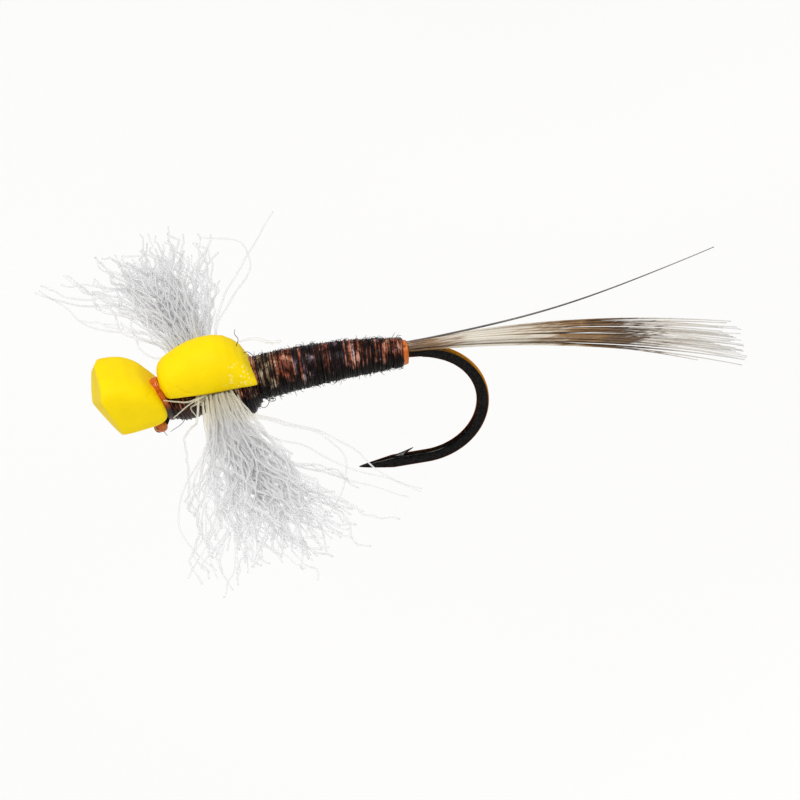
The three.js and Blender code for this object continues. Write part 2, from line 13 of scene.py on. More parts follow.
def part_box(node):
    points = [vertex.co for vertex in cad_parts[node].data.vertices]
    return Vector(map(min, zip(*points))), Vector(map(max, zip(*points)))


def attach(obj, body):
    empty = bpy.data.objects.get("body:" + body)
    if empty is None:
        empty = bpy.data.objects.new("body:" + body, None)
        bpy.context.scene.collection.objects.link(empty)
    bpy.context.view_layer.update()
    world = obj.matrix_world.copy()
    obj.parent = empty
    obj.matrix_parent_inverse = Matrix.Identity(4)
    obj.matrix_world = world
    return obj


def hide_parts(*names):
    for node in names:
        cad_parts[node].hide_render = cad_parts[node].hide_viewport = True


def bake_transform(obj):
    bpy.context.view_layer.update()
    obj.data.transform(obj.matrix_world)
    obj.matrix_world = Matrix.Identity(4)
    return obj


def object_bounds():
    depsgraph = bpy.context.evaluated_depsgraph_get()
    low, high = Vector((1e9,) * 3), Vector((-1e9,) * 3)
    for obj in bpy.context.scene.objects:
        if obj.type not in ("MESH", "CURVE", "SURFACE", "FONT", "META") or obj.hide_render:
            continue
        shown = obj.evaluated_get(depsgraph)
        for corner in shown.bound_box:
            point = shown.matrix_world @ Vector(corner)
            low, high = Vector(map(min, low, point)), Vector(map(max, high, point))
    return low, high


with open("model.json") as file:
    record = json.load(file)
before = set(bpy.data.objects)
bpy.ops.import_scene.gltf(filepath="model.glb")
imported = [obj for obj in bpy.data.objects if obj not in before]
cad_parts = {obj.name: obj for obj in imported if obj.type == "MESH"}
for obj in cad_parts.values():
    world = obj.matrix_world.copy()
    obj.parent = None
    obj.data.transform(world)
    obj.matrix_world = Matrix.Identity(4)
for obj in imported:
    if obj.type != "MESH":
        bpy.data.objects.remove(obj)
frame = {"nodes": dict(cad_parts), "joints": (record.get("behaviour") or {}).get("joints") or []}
cad_box = [list(corner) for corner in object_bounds()]

MM = 0.001
SEED = 11
BODY = "fly_body"
TAIL = "tail"


def add_object(name, data):
    made = bpy.data.objects.new(name, data)
    bpy.context.scene.collection.objects.link(made)
    return made


# ----- camera

VIEW_ELEVATION = math.radians(35)
VIEW_ROLL = math.radians(13)
VIEW_TARGET = Vector((10.99, -1.19, -1.10)) * MM
VIEW_WIDTH = 37.2 * MM
LENS = 600
SENSOR = 36


def make_camera():
    data = bpy.data.cameras.new("camera")
    data.lens = LENS
    data.sensor_width = SENSOR
    data.clip_start = 1 * MM
    data.clip_end = 50
    camera = add_object("camera", data)
    bpy.context.scene.camera = camera
    forward = Vector((0, math.cos(VIEW_ELEVATION), -math.sin(VIEW_ELEVATION)))
    level_up = Vector((0, math.sin(VIEW_ELEVATION), math.cos(VIEW_ELEVATION)))
    level_right = Vector((1, 0, 0))
    right = math.cos(VIEW_ROLL) * level_right - math.sin(VIEW_ROLL) * level_up
    up = math.sin(VIEW_ROLL) * level_right + math.cos(VIEW_ROLL) * level_up
    distance = VIEW_WIDTH * LENS / SENSOR
    rotation = Matrix((right, up, -forward)).transposed().to_4x4()
    camera.matrix_world = Matrix.Translation(VIEW_TARGET - forward * distance) @ rotation


make_camera()

# ----- mesh helpers


def mesh_object(name, vertices, faces, material, smooth=True):
    mesh = bpy.data.meshes.new(name)
    mesh.from_pydata([tuple(v) for v in vertices], [], [tuple(f) for f in faces])
    mesh.update()
    if smooth:
        mesh.polygons.foreach_set("use_smooth", [True] * len(mesh.polygons))
    mesh.materials.append(material)
    return add_object(name, mesh)


def unit(v):
    return v / np.maximum(np.linalg.norm(v, axis=-1, keepdims=True), 1e-12)


def tube_rings(points, radii, sides):
    """Rings of a tube along points (mm), with the least turning from one ring to the next."""
    tangents = unit(np.gradient(points, axis=0))
    start = np.array([0.0, 0.0, 1.0]) if abs(tangents[0][2]) < 0.9 else np.array([1.0, 0.0, 0.0])
    normal = unit(np.cross(tangents[0], start))
    angles = 2 * math.pi * np.arange(sides) / sides
    rings = []
    for point, tangent, radius in zip(points, tangents, radii):
        normal = unit(normal - np.dot(normal, tangent) * tangent)
        other = np.cross(tangent, normal)
        rings.append(point + radius * (np.outer(np.cos(angles), normal) + np.outer(np.sin(angles), other)))
    return np.array(rings)


def smooth_line(points, steps=24):
    """A smooth line through a few given points (mm)."""
    points = np.array(points, float)
    ends = np.vstack([2 * points[0] - points[1], points, 2 * points[-1] - points[-2]])
    line = []
    for i in range(1, len(ends) - 2):
        a, b, c, d = ends[i - 1:i + 3]
        for t in np.linspace(0, 1, steps, endpoint=False):
            line.append(0.5 * (2 * b + (c - a) * t + (2 * a - 5 * b + 4 * c - d) * t * t
                               + (3 * b - a - 3 * c + d) * t ** 3))
    line.append(points[-1])
    return np.array(line)


def ring_faces(rows, around):
    """Side faces between rows of ring vertices, and a face over each end."""
    faces = []
    for i in range(rows - 1):
        for k in range(around):
            j = (k + 1) % around
            faces.append((i * around + k, i * around + j, (i + 1) * around + j, (i + 1) * around + k))
    faces.append(tuple(reversed(range(around))))
    faces.append(tuple((rows - 1) * around + k for k in range(around)))
    return faces


def place_piece(piece, slot, *nodes):
    """Stands in for CAD nodes and rides on the body; the slot it is given is not used."""
    if nodes:
        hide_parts(*nodes)
    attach(piece, BODY)


class TubeSet:
    """Many closed tubes collected into one mesh."""

    def __init__(self, sides=4):
        self.sides = sides
        self.vertices = []
        self.faces = []

    def add(self, points, radii):
        points = np.asarray(points, float)
        radii = np.broadcast_to(np.asarray(radii, float), (len(points),))
        rings = tube_rings(points, radii, self.sides)
        base = len(self.vertices)
        self.vertices.extend(rings.reshape(-1, 3) * MM)
        for face in ring_faces(len(points), self.sides):
            self.faces.append(tuple(base + corner for corner in face))

    def build(self, name, material):
        return mesh_object(name, self.vertices, self.faces, material)


def smoothstep(x, low=0.0, high=1.0):
    t = np.clip((x - low) / (high - low), 0, 1)
    return t * t * (3 - 2 * t)


# ----- the shank that all is tied on

WIRE_RADIUS = 0.25
FORGED_HALF_WIDTH = 0.205
FORGED_HALF_DEPTH = 0.295
SHANK_START_X = 0.35
SHANK_ARC_RADIUS = 30.0
BEND_RADIUS = 2.96
BEND_CENTRE = np.array([11.85, 0.0, -2.4])
BEND_START = math.radians(78.2)
BEND_END = math.radians(-94.4)
SPEAR_LENGTH = 3.2
EYE_RING_RADIUS = 0.45
EYE_WIRE_RADIUS = 0.17
EYE_TURN_DOWN = math.radians(50)


def on_arc(centre, radius, angle):
    return centre + radius * np.array([math.cos(angle), 0.0, math.sin(angle)])


SHANK_CENTRE = on_arc(on_arc(BEND_CENTRE, BEND_RADIUS, BEND_START), -SHANK_ARC_RADIUS, BEND_START)
Y_AXIS = np.array([0.0, 1.0, 0.0])


def shank_frame(x):
    """The shank's centre at station x, and the direction away from its arc's centre (mm)."""
    dx = x - SHANK_CENTRE[0]
    point = np.array([x, 0.0, SHANK_CENTRE[2] + math.sqrt(SHANK_ARC_RADIUS ** 2 - dx * dx)])
    return point, unit(point - SHANK_CENTRE)


def around_shank(x, radius, angle):
    point, up = shank_frame(x)
    return point + radius * (math.cos(angle) * up + math.sin(angle) * Y_AXIS)


# ----- materials


def new_material(name, colour, roughness, metallic=0.0, **sockets):
    material = bpy.data.materials.new(name)
    material.use_nodes = True
    shader = shader_of(material)
    shader.inputs["Base Color"].default_value = (*colour, 1)
    shader.inputs["Roughness"].default_value = roughness
    shader.inputs["Metallic"].default_value = metallic
    for key, value in sockets.items():
        shader.inputs[key.replace("_", " ")].default_value = value
    return material


def node(material, kind, **values):
    made = material.node_tree.nodes.new(kind)
    for key, value in values.items():
        socket = key.replace("_", " ")
        if socket in made.inputs:
            made.inputs[socket].default_value = value
        else:
            setattr(made, key, value)
    return made


def shader_of(material):
    return material.node_tree.nodes["Principled BSDF"]


def link(material, start, end):
    material.node_tree.links.new(start, end)


def noise(material, size_mm, detail=3.0, stretch=(1, 1, 1), distortion=0.0):
    """Noise whose features are about size_mm across, in the frame's own metres."""
    scale = node(material, "ShaderNodeMapping", Scale=stretch)
    texture = node(material, "ShaderNodeTexNoise",
                   Scale=1 / (size_mm * MM), Detail=detail, Distortion=distortion)
    link(material, position(material), scale.inputs["Vector"])
    link(material, scale.outputs["Vector"], texture.inputs["Vector"])
    return texture.outputs["Fac"]


def ramp(material, source, stops):
    """Colours at places along a source's range."""
    made = node(material, "ShaderNodeValToRGB")
    elements = made.color_ramp.elements
    while len(elements) < len(stops):
        elements.new(0.5)
    for element, (place, colour) in zip(elements, stops):
        element.position = place
        element.color = (*colour, 1)
    link(material, source, made.inputs["Fac"])
    return made.outputs["Color"]


def base_colour(material, output):
    link(material, output, shader_of(material).inputs["Base Color"])


def roughness_range(material, source, low, high):
    span = map_range(material, source, 0, 1, low, high)
    link(material, span, shader_of(material).inputs["Roughness"])


def bump(material, source, height_mm, strength=1.0):
    shader = shader_of(material)
    made = node(material, "ShaderNodeBump", Strength=strength, Distance=height_mm * MM)
    link(material, source, made.inputs["Height"])
    if shader.inputs["Normal"].links:
        link(material, shader.inputs["Normal"].links[0].from_socket, made.inputs["Normal"])
    link(material, made.outputs["Normal"], shader.inputs["Normal"])


def position(material, axis=None):
    """The object-space position, or one axis of it."""
    place = node(material, "ShaderNodeTexCoord").outputs["Object"]
    if axis is None:
        return place
    parts = node(material, "ShaderNodeSeparateXYZ")
    link(material, place, parts.inputs["Vector"])
    return parts.outputs[axis]


def map_range(material, source, low, high, start=0, end=1):
    """From start to end as the source goes from low to high."""
    span = node(material, "ShaderNodeMapRange", From_Min=low, From_Max=high, To_Min=start, To_Max=end)
    link(material, source, span.inputs["Value"])
    return span.outputs["Result"]


def calculate(material, operation, *values, kind="ShaderNodeMath", output=0):
    """One math node, whose inputs are numbers, vectors or other nodes' outputs."""
    made = node(material, kind, operation=operation)
    for socket, value in zip(made.inputs, values):
        if isinstance(value, bpy.types.NodeSocket):
            link(material, value, socket)
        else:
            socket.default_value = value
    return made.outputs[output]


def mix_colour(material, share, first, second):
    """A blend of two colours, each a fixed one or another node's output."""
    mix = node(material, "ShaderNodeMixRGB", blend_type="MIX")
    link(material, share, mix.inputs["Fac"])
    for socket, colour in ((mix.inputs["Color1"], first), (mix.inputs["Color2"], second)):
        if isinstance(colour, bpy.types.NodeSocket):
            link(material, colour, socket)
        else:
            socket.default_value = (*colour, 1)
    return mix.outputs["Color"]


def mix_shader(material, share, first, second):
    mix = node(material, "ShaderNodeMixShader", Fac=share)
    link(material, first.outputs[0], mix.inputs[1])
    link(material, second.outputs[0], mix.inputs[2])
    return mix


# Where the pores carry painted highlight speckles on the foam's near rear flank, and how far they reach.
PORE_GLINT_CENTRE = (3.95, -1.3, 2.3)
PORE_GLINT_REACH = 0.85


def foam_material():
    """Closed-cell foam: a fine matt grain, with painted highlights as paler speckles in the pores on its near
    rear flank.
    """
    made = new_material("foam_yellow", (1.0, 0.76, 0.0), 0.7, Specular_IOR_Level=0.12)
    cells = noise(made, 0.09, 4)
    patches = noise(made, 1.4, 2)
    colours = ramp(made, patches, [(0.3, (0.95, 0.68, 0.0)), (0.7, (1.0, 0.74, 0.0))])
    roughness_range(made, cells, 0.5, 0.75)
    bump(made, cells, 0.012, 0.7)
    pores = node(made, "ShaderNodeTexVoronoi", Scale=1 / (0.17 * MM))
    link(made, position(made), pores.inputs["Vector"])
    bump(made, pores.outputs["Distance"], 0.006, 0.4)
    # Painted highlight: pale yellow in the pores near that place.
    centre = [value * MM for value in PORE_GLINT_CENTRE]
    away = calculate(made, "DISTANCE", position(made), centre, kind="ShaderNodeVectorMath", output="Value")
    near = map_range(made, away, PORE_GLINT_REACH * MM, 0.5 * PORE_GLINT_REACH * MM)
    pore_glint = map_range(made, pores.outputs["Distance"], 0.38, 0.20)
    shown = calculate(made, "MULTIPLY", near, pore_glint)
    base_colour(made, mix_colour(made, shown, colours, (1.0, 0.84, 0.22)))
    return made


YARN_GLOW = 0.5
YARN_CLEARNESS = 0.42


def yarn_material(name="wing_yarn", white=(0.955, 0.955, 0.96), cream=(0.89, 0.85, 0.70)):
    """Translucent crimped yarn: creamy where it is gathered at the body, whiter outwards."""
    made = new_material(name, white, 0.45, Specular_IOR_Level=0.3)
    outward = calculate(made, "ABSOLUTE", position(made, "Y"))
    span = map_range(made, outward, 1.2 * MM, 6.0 * MM)
    streaks = noise(made, 0.35, 2)
    mixed = calculate(made, "MULTIPLY_ADD", streaks, 0.35, span)
    colours = ramp(made, mixed, [(0.12, cream), (0.75, white)])
    base_colour(made, colours)
    roughness_range(made, streaks, 0.3, 0.55)
    glow = node(made, "ShaderNodeBsdfTranslucent")
    link(made, colours, glow.inputs["Color"])
    both = mix_shader(made, YARN_GLOW, shader_of(made), glow)
    seen = mix_shader(made, YARN_CLEARNESS, both, node(made, "ShaderNodeBsdfTransparent"))
    link(made, seen.outputs[0], made.node_tree.nodes["Material Output"].inputs["Surface"])
    return made


def lit_side_mask(material, ragged):
    """Mask of painted shade: 0 on the underside of the wound body, 1 from its flanks up, with a ragged edge
    between.
    """
    def math_node(operation, *values):
        return calculate(material, operation, *values)

    along = math_node("SUBTRACT", position(material, "X"), SHANK_CENTRE[0] * MM)
    along_squared = math_node("MULTIPLY", along, along)
    rise = math_node("SQRT", math_node("SUBTRACT", (SHANK_ARC_RADIUS * MM) ** 2, along_squared))
    level = math_node("SUBTRACT", position(material, "Z"), SHANK_CENTRE[2] * MM)
    shift = math_node("MULTIPLY", math_node("SUBTRACT", ragged, 0.5), 1.6 * MM)
    edge = math_node("ADD", math_node("SUBTRACT", level, rise), shift)
    return map_range(material, edge, 0.05 * MM, 0.62 * MM)


def strand_material(name, stops, roughness, coat=0.25, size_mm=0.28):
    """Feather fibre: tones that run in bands round the body, with a gloss. Painted shade turns the underside
    near black; pale stops in the ramp are painted glints.
    """
    made = new_material(name, stops[0][1], roughness,
                        Specular_IOR_Level=0.16, Coat_Weight=coat, Coat_Roughness=0.25)
    bands = noise(made, size_mm, 4, stretch=(1, 0.45, 0.45), distortion=0.4)
    colours = ramp(made, bands, stops)
    lit_side = lit_side_mask(made, bands)
    # Painted shade: near black on the underside of the wound body.
    base_colour(made, mix_colour(made, lit_side, (0.005, 0.002, 0.0015), colours))
    grain = noise(made, 0.05, 2)
    roughness_range(made, grain, roughness - 0.1, roughness + 0.15)
    bump(made, grain, 0.006, 0.6)
    return made


def steel_material():
    """Black nickel over ground steel, with a painted bronze glint along the outside of the bend."""
    made = new_material("black_nickel", (0.010, 0.009, 0.008), 0.2, 1.0, Specular_Tint=(0.75, 0.42, 0.16, 1))
    grind = noise(made, 0.12, 4)
    colours = ramp(made, grind, [(0.40, (0.008, 0.008, 0.008)), (0.75, (0.022, 0.020, 0.019))])
    vector = "ShaderNodeVectorMath"
    # Painted highlight: bronze on the faces turned away from the bend's centre, where the glint runs.
    outward = calculate(made, "SUBTRACT", position(made), list(BEND_CENTRE * MM), kind=vector)
    outward = calculate(made, "NORMALIZE", outward, kind=vector)
    normal = node(made, "ShaderNodeNewGeometry").outputs["Normal"]
    facing = calculate(made, "DOT_PRODUCT", outward, normal, kind=vector, output="Value")
    rim = map_range(made, facing, 0.55, 0.95)
    base_colour(made, mix_colour(made, rim, colours, (0.50, 0.23, 0.03)))
    roughness_range(made, grind, 0.08, 0.26)
    bump(made, grind, 0.0012, 0.3)
    return made


def collar_material():
    """Orange thread, with painted shade darkening it where it runs down to the head."""
    made = thread_material("collar_thread", (0.40, 0.06, 0.003), (0.72, 0.17, 0.010), 0.26)
    # Painted shade: near black on the turns below about 1 mm up.
    clear_of_painted_shade = map_range(made, position(made, "Z"), 0.95 * MM, 1.5 * MM)
    plain = shader_of(made).inputs["Base Color"].links[0].from_socket
    base_colour(made, mix_colour(made, clear_of_painted_shade, (0.022, 0.006, 0.002), plain))
    return made


def thread_material(name, dark, light, roughness=0.3):
    made = new_material(name, light, roughness, Specular_IOR_Level=0.3, Coat_Weight=0.2, Coat_Roughness=0.15)
    plies = noise(made, 0.08, 3, stretch=(1, 0.4, 0.4))
    colours = ramp(made, plies, [(0.32, dark), (0.68, light)])
    base_colour(made, colours)
    roughness_range(made, plies, roughness - 0.1, roughness + 0.15)
    bump(made, plies, 0.006, 0.5)
    return made


def cement_material():
    made = new_material("head_cement", (0.42, 0.08, 0.008), 0.12, Specular_IOR_Level=0.4)
    swirl = noise(made, 0.3, 2)
    colours = ramp(made, swirl, [(0.3, (0.46, 0.09, 0.004)), (0.7, (0.70, 0.22, 0.010))])
    base_colour(made, colours)
    bump(made, swirl, 0.01, 0.5)
    return made


def barb_material():
    """Tail barbs: brown at the tie-in, a cream bar, a dark bar and pale clear tips."""
    made = new_material("tail_barb", (0.5, 0.4, 0.28), 0.28, Coat_Weight=0.4, Coat_Roughness=0.2)
    low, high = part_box("tail_fibre_01")
    span = map_range(made, position(made, "X"), low.x, high.x)
    mottle = noise(made, 1.3, 3, stretch=(0.25, 9, 9))
    shifted = calculate(made, "MULTIPLY_ADD", mottle, 0.46, span)
    stops = [
        (0.10, (0.05, 0.022, 0.009)),
        (0.22, (0.24, 0.13, 0.05)),
        (0.32, (0.74, 0.68, 0.58)),
        (0.47, (0.70, 0.62, 0.50)),
        (0.57, (0.28, 0.15, 0.05)),
        (0.70, (0.10, 0.055, 0.03)),
        (0.80, (0.70, 0.65, 0.58)),
        (1.0, (0.76, 0.74, 0.71)),
    ]
    colours = ramp(made, calculate(made, "MULTIPLY", shifted, 0.80), stops)
    base_colour(made, colours)
    roughness_range(made, mottle, 0.2, 0.42)
    return made


FOAM = foam_material()
YARN = yarn_material()
STEEL = steel_material()
BARB = barb_material()
CEMENT = cement_material()
# The palest stops of the copper, violet and tan ramps are painted glints; the darker stops are the fibres'
# own tones.
COPPER = strand_material("copper_fibre", [(0.36, (0.030, 0.008, 0.004)), (0.50, (0.22, 0.05, 0.022)),
                                          (0.60, (0.50, 0.19, 0.11)), (0.72, (0.80, 0.46, 0.34))], 0.32, 0.06)
VIOLET = strand_material("violet_fibre", [(0.40, (0.006, 0.003, 0.005)), (0.54, (0.030, 0.016, 0.022)),
                                          (0.63, (0.18, 0.12, 0.15)), (0.74, (0.46, 0.37, 0.42))], 0.32, 0.06)
DARK = strand_material("dark_fibre", [(0.35, (0.004, 0.002, 0.002)), (0.7, (0.028, 0.010, 0.006))], 0.5, 0.0)
TAN = strand_material("tan_fibre", [(0.40, (0.030, 0.015, 0.006)), (0.55, (0.22, 0.15, 0.08)),
                                    (0.70, (0.68, 0.58, 0.42))], 0.32, 0.06)
HAIR = strand_material("dark_hair", [(0.35, (0.012, 0.010, 0.010)), (0.7, (0.07, 0.05, 0.045))], 0.4, 0.2)
STRAY = strand_material("stray_barb", [(0.35, (0.05, 0.045, 0.04)), (0.7, (0.20, 0.18, 0.16))], 0.35, 0.3, 3)
ORANGE_THREAD = thread_material("orange_thread", (0.42, 0.075, 0.006), (0.75, 0.20, 0.02))
COLLAR_THREAD = collar_material()
DARK_THREAD = thread_material("dark_thread", (0.008, 0.003, 0.002), (0.060, 0.018, 0.006), 0.36)

# ----- hook


def hook_line():
    """Points along the wire's centre from behind the eye to the point, with the distance of each."""
    start_angle = math.acos((SHANK_START_X - SHANK_CENTRE[0]) / SHANK_ARC_RADIUS)
    points = [on_arc(SHANK_CENTRE, SHANK_ARC_RADIUS, a) for a in np.linspace(start_angle, BEND_START, 40)]
    points += [on_arc(BEND_CENTRE, BEND_RADIUS, a) for a in np.linspace(BEND_START, BEND_END, 90)[1:]]
    spear = np.array([math.sin(BEND_END), 0.0, -math.cos(BEND_END)])
    points += [points[-1] + spear * SPEAR_LENGTH * t for t in np.linspace(0, 1, 60)[1:]]
    points = np.array(points)
    steps = np.linalg.norm(np.diff(points, axis=0), axis=1)
    return points, np.concatenate([[0], np.cumsum(steps)]), spear


def make_hook():
    points, distance, spear = hook_line()
    total = distance[-1]
    shank_length = distance[39]
    tangents = unit(np.gradient(points, axis=0))
    sides = 28
    vertices = []
    for point, tangent, s in zip(points, tangents, distance):
        forged = float(smoothstep(s, shank_length, shank_length + 1.0))
        up_size = WIRE_RADIUS + (FORGED_HALF_DEPTH - WIRE_RADIUS) * forged
        to_tip = min((total - s) / 1.6, 1.0)
        taper = 0.05 + 0.95 * to_tip ** 0.75
        limit = WIRE_RADIUS + (FORGED_HALF_WIDTH - WIRE_RADIUS) * forged
        up = np.cross(Y_AXIS, tangent)
        for k in range(sides):
            a = 2 * math.pi * k / sides
            y = math.cos(a) * WIRE_RADIUS
            y = math.copysign(limit * math.tanh(abs(y) / limit * 1.5) / math.tanh(1.5), y) if forged else y
            z = math.sin(a) * up_size
            if to_tip < 1 and z * up[2] > 0:
                z *= 0.8 + 0.2 * to_tip
            vertices.append((point + taper * (y * Y_AXIS + z * up)) * MM)
    wire = mesh_object("hook_wire", vertices, ring_faces(len(points), sides), STEEL)

    ring = TubeSet(sides=18)
    turn = np.linspace(0, 2 * math.pi, 61)
    across = np.array([math.cos(EYE_TURN_DOWN), 0.0, math.sin(EYE_TURN_DOWN)])
    circle = np.outer(np.cos(turn), across) + np.outer(np.sin(turn), Y_AXIS)
    ring.add(EYE_RING_RADIUS * circle, EYE_WIRE_RADIUS)
    eye = ring.build("hook_eye_ring", STEEL)

    barb = make_barb(points[-1], spear)
    join_solids(wire, [eye, barb])
    wire.name = "hook_polished"
    place_piece(wire, "hook_steel", "hook")


def make_barb(tip, spear):
    """A thin sliver raised from the inside of the spear, pointing back towards the bend."""
    up = np.cross(Y_AXIS, spear)
    if up[2] < 0:
        up = -up
    rows = 9
    vertices = []
    for i in range(rows):
        t = i / (rows - 1)
        along = tip - spear * (1.2 + 1.42 * t)
        rise = 0.17 + 0.42 * t ** 1.2
        thick = 0.30 * (1 - t) + 0.02
        width = 0.15 * (1 - 0.85 * t ** 1.5)
        for side, top in ((-1, 0), (1, 0), (1, 1), (-1, 1)):
            height = rise if top else rise - thick
            vertices.append((along + up * height + side * width * (0.45 if top else 1) * Y_AXIS) * MM)
    return mesh_object("hook_barb", vertices, ring_faces(rows, 4), STEEL, smooth=False)


def recalculate_normals(piece):
    fix = bmesh.new()
    fix.from_mesh(piece.data)
    bmesh.ops.recalc_face_normals(fix, faces=fix.faces)
    fix.to_mesh(piece.data)
    fix.free()


def combine(target, other, operation):
    joined = target.modifiers.new("combine", "BOOLEAN")
    joined.operation = operation
    joined.solver = "EXACT"
    joined.object = other
    apply_modifiers(target)
    bpy.data.objects.remove(other)


def join_solids(target, others):
    """Unites meshes that overlap into one closed surface."""
    for other in others:
        recalculate_normals(other)
        combine(target, other, "UNION")


def apply_modifiers(piece):
    bpy.context.view_layer.update()
    graph = bpy.context.evaluated_depsgraph_get()
    mesh = bpy.data.meshes.new_from_object(piece.evaluated_get(graph))
    old = piece.data
    piece.modifiers.clear()
    piece.data = mesh
    bpy.data.meshes.remove(old)
    mesh.polygons.foreach_set("use_smooth", [True] * len(mesh.polygons))


# ----- wound body

ABDOMEN = (4.74, 11.54)
ABDOMEN_FRONT_RADIUS = 0.98
ABDOMEN_REAR_RADIUS = 0.62
FILAMENT_RADIUS = 0.036


def abdomen_radius(x):
    share = min(max((x - ABDOMEN[0]) / (ABDOMEN[1] - ABDOMEN[0]), 0), 1)
    return ABDOMEN_FRONT_RADIUS + (ABDOMEN_REAR_RADIUS - ABDOMEN_FRONT_RADIUS) * share ** 1.8


def thorax_radius(x):
    return 1.46 - 0.42 * max(0.0, (x - 4.25) / 0.5)


def wind(tubes, rng, from_x, to_x, radius_at, turns, phase, radius, steps=26, wobble=0.03):
    """One fine filament wound round the body, a little uneven in depth and spacing."""
    count = max(int(turns * steps), 8)
    drift = rng.uniform(0, 6.28)
    depth = rng.uniform(-0.05, 0.03)
    points = []
    for i in range(count + 1):
        t = i / count
        angle = 2 * math.pi * (turns * t + phase)
        x = from_x + (to_x - from_x) * t
        x += wobble * math.sin(angle * 0.37 + drift) + 0.5 * wobble * math.sin(angle * 1.9 + 2 * drift)
        waver = 0.035 * math.sin(angle * 0.61 + 3 * drift) + 0.012 * math.sin(angle * 3 + drift)
        points.append(around_shank(x, radius_at(x) + depth + waver, angle))
    tubes.add(points, radius)


# Where each stretch of the abdomen ends, with its shares of copper, violet, dark and tan.
TONES = [
    (5.5, (1, 1.5, 4, 4)),
    (6.4, (10, 0.5, 1.5, 0.4)),
    (7.7, (0.4, 5, 7, 0.1)),
    # Copper in this stretch is partly the fibres' own tone and partly placed for pink painted glints.
    (8.2, (4, 4, 3, 0.2)),
    (8.7, (0.7, 6, 4, 0.1)),
    (9.4, (5, 2, 3, 0.3)),
    (10.5, (2, 4, 4, 0.3)),
    (math.inf, (9, 1, 1.5, 0.4)),
]


def tone_at(x, rng):
    """Which tone shows at a place along the abdomen, from the wings back to the tail."""
    shares = next(shares for end, shares in TONES if x < end)
    return rng.choices(range(4), shares)[0]


def make_abdomen():
    """Short runs of fine filament, laid turn by turn, so that the tones change along the body."""
    rng = random.Random(SEED)
    sets = [TubeSet(4) for _ in range(4)]
    pitch = 0.24
    x = ABDOMEN[0]
    while x < ABDOMEN[1]:
        for _ in range(7):
            turns = rng.uniform(1.2, 2.6)
            start = x + rng.uniform(-0.1, 0.1)
            end = min(start + turns * pitch * rng.uniform(0.5, 1.2), ABDOMEN[1])
            wind(sets[tone_at(start, rng)], rng, start, end, abdomen_radius, turns, rng.random(),
                 FILAMENT_RADIUS * rng.uniform(0.7, 1.25), wobble=0.02)
        x += 0.115
    names = (("abdomen_copper", COPPER), ("abdomen_violet", VIOLET),
             ("abdomen_dark", DARK), ("abdomen_tan", TAN))
    for index, (tubes, (name, material)) in enumerate(zip(sets, names)):
        place_piece(tubes.build(name, material), "body_fibre", f"abdomen_fibre_{index + 1}")


def make_thorax():
    rng = random.Random(SEED + 1)
    tones = (("thorax_dark", DARK, 20), ("thorax_copper", COPPER, 12), ("thorax_tan", TAN, 7))
    for index, (name, material, count) in enumerate(tones):
        tubes = TubeSet(4)
        for _ in range(count):
            start = rng.uniform(3.45, 4.5)
            turns = rng.uniform(1.1, 2.2)
            end = min(start + rng.uniform(0.1, 0.5), 4.74)
            wind(tubes, rng, start, end, thorax_radius, turns, rng.random(), rng.uniform(0.028, 0.05))
        nodes = [f"thorax_fibre_{index + 1}"] if index < 2 else []
        place_piece(tubes.build(name, material), "body_fibre", *nodes)


ABDOMEN_BARBULES = 3400
THORAX_BARBULES = 150


def curl(rng, start, outward, length, radius, bend=2.4, steps=9):
    """A short curly barbule that leaves the body and bends over on itself."""
    scatter = [rng.uniform(-0.7, 0.7), rng.uniform(-0.5, 0.5), rng.uniform(-0.5, 0.5)]
    direction = unit(outward + np.array(scatter))
    axis = unit(np.array([rng.gauss(0, 1), rng.gauss(0, 1), rng.gauss(0, 1)]))
    turn = rng.uniform(0.3, 1) * bend / steps
    points = [np.array(start)]
    for _ in range(steps):
        direction = unit(direction * math.cos(turn) + np.cross(axis, direction) * math.sin(turn))
        points.append(points[-1] + direction * length / steps)
    return points, np.linspace(radius, radius * 0.45, steps + 1)


def make_fuzz():
    """Curly barbules that stand along the whole of the wound body."""
    rng = random.Random(SEED + 2)
    tubes = TubeSet(3)
    for _ in range(ABDOMEN_BARBULES):
        x = rng.uniform(ABDOMEN[0], ABDOMEN[1])
        angle = rng.uniform(0, 2 * math.pi)
        start = around_shank(x, abdomen_radius(x) - 0.02, angle)
        outward = unit(start - shank_frame(x)[0])
        tubes.add(*curl(rng, start, outward * rng.uniform(0.3, 1.2), rng.uniform(0.16, 0.42), 0.018, bend=8))
    for _ in range(THORAX_BARBULES):
        x = rng.uniform(3.5, 4.8)
        angle = rng.uniform(0.6 * math.pi, 1.4 * math.pi)
        start = around_shank(x, thorax_radius(x) - 0.02, angle)
        outward = unit(start - shank_frame(x)[0])
        tubes.add(*curl(rng, start, outward * 0.6, rng.uniform(0.1, 0.28), 0.013, bend=3.5))
    place_piece(tubes.build("body_barbules", DARK), "body_fibre")


# ----- thread


def winding(name, xs, radius_at, turns, thread_radius, material, slot, replaces=(), layers=1, seed=0):
    """Close turns of thread on the shank, in one or more layers."""
    rng = random.Random(SEED + 40 + seed)
    tubes = TubeSet(8)
    for layer in range(layers):
        points = []
        count = int(turns * 36)
        forward = layer % 2 == 0
        for i in range(count + 1):
            t = i / count
            share = t if forward else 1 - t
            x = xs[0] + (xs[1] - xs[0]) * share + 0.01 * math.sin(9.3 * t + layer)
            angle = 2 * math.pi * turns * t + layer
            points.append(around_shank(x, radius_at(x) + layer * thread_radius * 0.8
                                       + rng.uniform(-0.002, 0.002), angle))
        tubes.add(points, thread_radius)
    place_piece(tubes.build(name, material), slot, *replaces)


def head_radius(x):
    return 0.30 + 0.50 * math.sin(min(max((x - 0.3) / 1.0, 0), 1) * math.pi / 2)


